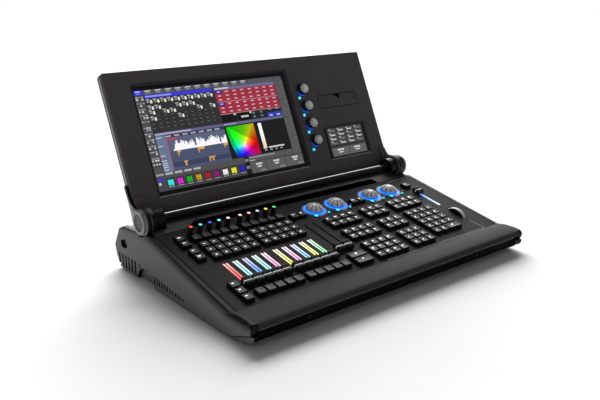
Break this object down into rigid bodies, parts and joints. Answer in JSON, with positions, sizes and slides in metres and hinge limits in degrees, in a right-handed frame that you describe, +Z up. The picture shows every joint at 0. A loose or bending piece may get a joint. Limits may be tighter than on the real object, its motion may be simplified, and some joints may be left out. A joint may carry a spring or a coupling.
{
  "type": "lighting control desk",
  "caption": "Sloping stage lighting control desk with faders, lit keys, rotary encoders and a fold-down monitor carrying a large and a small screen.",
  "frame": {"origin": "on the table, under the middle of the whole desk's footprint with the monitor open", "axes": "+X to the operator's right, +Y away from the operator, +Z up"},
  "size_m": [0.66, 0.4949, 0.3542],
  "materials": {
    "tray_black": "fine black powder coat",
    "cheek_grey": "moulded grey plastic with a fine matt texture",
    "panel_charcoal": "satin charcoal powder coat",
    "wrist_rest": "satin charcoal paint",
    "monitor_charcoal": "satin charcoal painted aluminium",
    "black_shell": "matt black",
    "connector_black": "black moulded connectors",
    "rubber": "black rubber",
    "steel": "plated steel",
    "plated_steel": "zinc plated sheet",
    "circuit_board": "black solder mask",
    "light_guide": "lit diffuser plastic",
    "light_bar": "white lit diffuser",
    "arm_grey": "satin grey anodised aluminium",
    "display_glass": "glossy display behind a clear front",
    "knob_silver": "turned and fluted aluminium",
    "lit_button": "lit translucent button",
    "fader_black": "soft black plastic",
    "knob_black": "black plastic",
    "key_black": "black silicone keys with lit legends"
  },
  "bodies": {
    "console": {"base_tray": "tray_black", "left_cheek": "cheek_grey", "right_cheek": "cheek_grey", "control_panel": "panel_charcoal", "wrist_rest": "wrist_rest", "rear_housing": "panel_charcoal", "rear_panel": "black_shell", "rear_connectors": "connector_black", "rubber_feet": "rubber", "screws": "steel", "control_board": "circuit_board", "fader_mechanisms": "steel", "light_guides": "light_guide", "power_supply": "plated_steel", "hinge_brackets": "black_shell", "hinge_pins": "steel"},
    "monitor": {"hinge_arms": "arm_grey", "monitor_front": "monitor_charcoal", "monitor_back": "black_shell", "main_display": "display_glass", "small_display": "display_glass", "light_bar": "light_bar"},
    "usb_door": {"usb_door": "monitor_charcoal"},
    "playback_keys": {"playback_keys": "key_black"},
    "program_keys": {"program_keys": "key_black"},
    "numeric_keys": {"numeric_keys": "key_black"},
    "go_keys": {"go_keys": "key_black"},
    "screen_encoder_buttons": {"screen_encoder_buttons": "lit_button"},
    "fader_cap_01": {"fader_cap_01": "fader_black"},
    "fader_cap_02": {"fader_cap_02": "fader_black"},
    "fader_cap_03": {"fader_cap_03": "fader_black"},
    "fader_cap_04": {"fader_cap_04": "fader_black"},
    "fader_cap_05": {"fader_cap_05": "fader_black"},
    "fader_cap_06": {"fader_cap_06": "fader_black"},
    "fader_cap_07": {"fader_cap_07": "fader_black"},
    "fader_cap_08": {"fader_cap_08": "fader_black"},
    "fader_cap_09": {"fader_cap_09": "fader_black"},
    "fader_cap_10": {"fader_cap_10": "fader_black"},
    "crossfader_cap_1": {"crossfader_cap_1": "fader_black"},
    "crossfader_cap_2": {"crossfader_cap_2": "fader_black"},
    "master_fader_cap": {"master_fader_cap": "fader_black"},
    "attribute_encoder_1": {"attribute_encoder_1": "knob_silver"},
    "attribute_encoder_2": {"attribute_encoder_2": "knob_silver"},
    "attribute_encoder_3": {"attribute_encoder_3": "knob_silver"},
    "attribute_encoder_4": {"attribute_encoder_4": "knob_silver"},
    "screen_encoder_1": {"screen_encoder_1": "knob_silver"},
    "screen_encoder_2": {"screen_encoder_2": "knob_silver"},
    "screen_encoder_3": {"screen_encoder_3": "knob_silver"},
    "screen_encoder_4": {"screen_encoder_4": "knob_silver"},
    "playback_encoder_01": {"playback_encoder_01": "knob_black"},
    "playback_encoder_02": {"playback_encoder_02": "knob_black"},
    "playback_encoder_03": {"playback_encoder_03": "knob_black"},
    "playback_encoder_04": {"playback_encoder_04": "knob_black"},
    "playback_encoder_05": {"playback_encoder_05": "knob_black"},
    "playback_encoder_06": {"playback_encoder_06": "knob_black"},
    "playback_encoder_07": {"playback_encoder_07": "knob_black"},
    "playback_encoder_08": {"playback_encoder_08": "knob_black"},
    "playback_encoder_09": {"playback_encoder_09": "knob_black"},
    "playback_encoder_10": {"playback_encoder_10": "knob_black"},
    "jog_wheel": {"jog_wheel": "knob_silver"}
  },
  "joints": [
    {"name": "monitor_tilt", "type": "hinge", "parent": "console", "child": "monitor", "pos_m": [0, 0.09156, 0.10871], "axis": [1, 0, 0], "range_deg": [-12, 126.4]},
    {"name": "usb_door_hinge", "type": "hinge", "parent": "monitor", "child": "usb_door", "pos_m": [0.2195, 0.1798, 0.24568], "axis": [1, 0, 0], "range_deg": [0, 90]},
    {"name": "attribute_encoder_1_turn", "type": "hinge", "parent": "console", "child": "attribute_encoder_1", "pos_m": [0.0098, 0.01615, 0.08323], "axis": [0, -0.2011, 0.9796], "continuous": true},
    {"name": "attribute_encoder_2_turn", "type": "hinge", "parent": "console", "child": "attribute_encoder_2", "pos_m": [0.066, 0.01615, 0.08323], "axis": [0, -0.2011, 0.9796], "continuous": true},
    {"name": "attribute_encoder_3_turn", "type": "hinge", "parent": "console", "child": "attribute_encoder_3", "pos_m": [0.161, 0.01615, 0.08323], "axis": [0, -0.2011, 0.9796], "continuous": true},
    {"name": "attribute_encoder_4_turn", "type": "hinge", "parent": "console", "child": "attribute_encoder_4", "pos_m": [0.2175, 0.01615, 0.08323], "axis": [0, -0.2011, 0.9796], "continuous": true},
    {"name": "screen_encoder_1_turn", "type": "hinge", "parent": "monitor", "child": "screen_encoder_1", "pos_m": [0.1245, 0.19668, 0.28674], "axis": [0, -0.9078, 0.4195], "continuous": true},
    {"name": "screen_encoder_2_turn", "type": "hinge", "parent": "monitor", "child": "screen_encoder_2", "pos_m": [0.1245, 0.18091, 0.25261], "axis": [0, -0.9078, 0.4195], "continuous": true},
    {"name": "screen_encoder_3_turn", "type": "hinge", "parent": "monitor", "child": "screen_encoder_3", "pos_m": [0.1245, 0.16455, 0.2172], "axis": [0, -0.9078, 0.4195], "continuous": true},
    {"name": "screen_encoder_4_turn", "type": "hinge", "parent": "monitor", "child": "screen_encoder_4", "pos_m": [0.1245, 0.14865, 0.1828], "axis": [0, -0.9078, 0.4195], "continuous": true},
    {"name": "playback_encoder_01_turn", "type": "hinge", "parent": "console", "child": "playback_encoder_01", "pos_m": [-0.2623, 0.03133, 0.08634], "axis": [0, -0.2011, 0.9796], "continuous": true},
    {"name": "playback_encoder_02_turn", "type": "hinge", "parent": "console", "child": "playback_encoder_02", "pos_m": [-0.2429, 0.03133, 0.08634], "axis": [0, -0.2011, 0.9796], "continuous": true},
    {"name": "playback_encoder_03_turn", "type": "hinge", "parent": "console", "child": "playback_encoder_03", "pos_m": [-0.2235, 0.03133, 0.08634], "axis": [0, -0.2011, 0.9796], "continuous": true},
    {"name": "playback_encoder_04_turn", "type": "hinge", "parent": "console", "child": "playback_encoder_04", "pos_m": [-0.2041, 0.03133, 0.08634], "axis": [0, -0.2011, 0.9796], "continuous": true},
    {"name": "playback_encoder_05_turn", "type": "hinge", "parent": "console", "child": "playback_encoder_05", "pos_m": [-0.1847, 0.03133, 0.08634], "axis": [0, -0.2011, 0.9796], "continuous": true},
    {"name": "playback_encoder_06_turn", "type": "hinge", "parent": "console", "child": "playback_encoder_06", "pos_m": [-0.1584, 0.03133, 0.08634], "axis": [0, -0.2011, 0.9796], "continuous": true},
    {"name": "playback_encoder_07_turn", "type": "hinge", "parent": "console", "child": "playback_encoder_07", "pos_m": [-0.139, 0.03133, 0.08634], "axis": [0, -0.2011, 0.9796], "continuous": true},
    {"name": "playback_encoder_08_turn", "type": "hinge", "parent": "console", "child": "playback_encoder_08", "pos_m": [-0.1196, 0.03133, 0.08634], "axis": [0, -0.2011, 0.9796], "continuous": true},
    {"name": "playback_encoder_09_turn", "type": "hinge", "parent": "console", "child": "playback_encoder_09", "pos_m": [-0.1002, 0.03133, 0.08634], "axis": [0, -0.2011, 0.9796], "continuous": true},
    {"name": "playback_encoder_10_turn", "type": "hinge", "parent": "console", "child": "playback_encoder_10", "pos_m": [-0.0808, 0.03133, 0.08634], "axis": [0, -0.2011, 0.9796], "continuous": true},
    {"name": "jog_wheel_turn", "type": "hinge", "parent": "console", "child": "jog_wheel", "pos_m": [0.279, -0.11689, 0.03754], "axis": [1, 0, 0], "continuous": true},
    {"name": "fader_01_slide", "type": "slide", "parent": "console", "child": "fader_cap_01", "axis": [0, 0.9796, 0.2011], "range_m": [0, 0.06]},
    {"name": "fader_02_slide", "type": "slide", "parent": "console", "child": "fader_cap_02", "axis": [0, 0.9796, 0.2011], "range_m": [0, 0.06]},
    {"name": "fader_03_slide", "type": "slide", "parent": "console", "child": "fader_cap_03", "axis": [0, 0.9796, 0.2011], "range_m": [0, 0.06]},
    {"name": "fader_04_slide", "type": "slide", "parent": "console", "child": "fader_cap_04", "axis": [0, 0.9796, 0.2011], "range_m": [0, 0.06]},
    {"name": "fader_05_slide", "type": "slide", "parent": "console", "child": "fader_cap_05", "axis": [0, 0.9796, 0.2011], "range_m": [0, 0.06]},
    {"name": "fader_06_slide", "type": "slide", "parent": "console", "child": "fader_cap_06", "axis": [0, 0.9796, 0.2011], "range_m": [0, 0.06]},
    {"name": "fader_07_slide", "type": "slide", "parent": "console", "child": "fader_cap_07", "axis": [0, 0.9796, 0.2011], "range_m": [0, 0.06]},
    {"name": "fader_08_slide", "type": "slide", "parent": "console", "child": "fader_cap_08", "axis": [0, 0.9796, 0.2011], "range_m": [0, 0.06]},
    {"name": "fader_09_slide", "type": "slide", "parent": "console", "child": "fader_cap_09", "axis": [0, 0.9796, 0.2011], "range_m": [0, 0.06]},
    {"name": "fader_10_slide", "type": "slide", "parent": "console", "child": "fader_cap_10", "axis": [0, 0.9796, 0.2011], "range_m": [0, 0.06]},
    {"name": "crossfader_1_slide", "type": "slide", "parent": "console", "child": "crossfader_cap_1", "axis": [0, 0.9796, 0.2011], "range_m": [0, 0.1]},
    {"name": "crossfader_2_slide", "type": "slide", "parent": "console", "child": "crossfader_cap_2", "axis": [0, 0.9796, 0.2011], "range_m": [0, 0.1]},
    {"name": "master_fader_slide", "type": "slide", "parent": "console", "child": "master_fader_cap", "axis": [0, 0.9796, 0.2011], "range_m": [-0.06, 0]},
    {"name": "playback_keys_press", "type": "slide", "parent": "console", "child": "playback_keys", "axis": [0, -0.2011, 0.9796], "range_m": [-0.002, 0], "stiffness_N_per_m": 2000, "springref_m": 0.002},
    {"name": "program_keys_press", "type": "slide", "parent": "console", "child": "program_keys", "axis": [0, -0.2011, 0.9796], "range_m": [-0.002, 0], "stiffness_N_per_m": 2500, "springref_m": 0.002},
    {"name": "numeric_keys_press", "type": "slide", "parent": "console", "child": "numeric_keys", "axis": [0, -0.2011, 0.9796], "range_m": [-0.002, 0], "stiffness_N_per_m": 1500, "springref_m": 0.002},
    {"name": "go_keys_press", "type": "slide", "parent": "console", "child": "go_keys", "axis": [0, -0.2011, 0.9796], "range_m": [-0.002, 0], "stiffness_N_per_m": 300, "springref_m": 0.002},
    {"name": "screen_encoder_buttons_press", "type": "slide", "parent": "monitor", "child": "screen_encoder_buttons", "axis": [0, -0.9078, 0.4195], "range_m": [-0.001, 0], "stiffness_N_per_m": 200, "springref_m": 0.001}
  ]
}
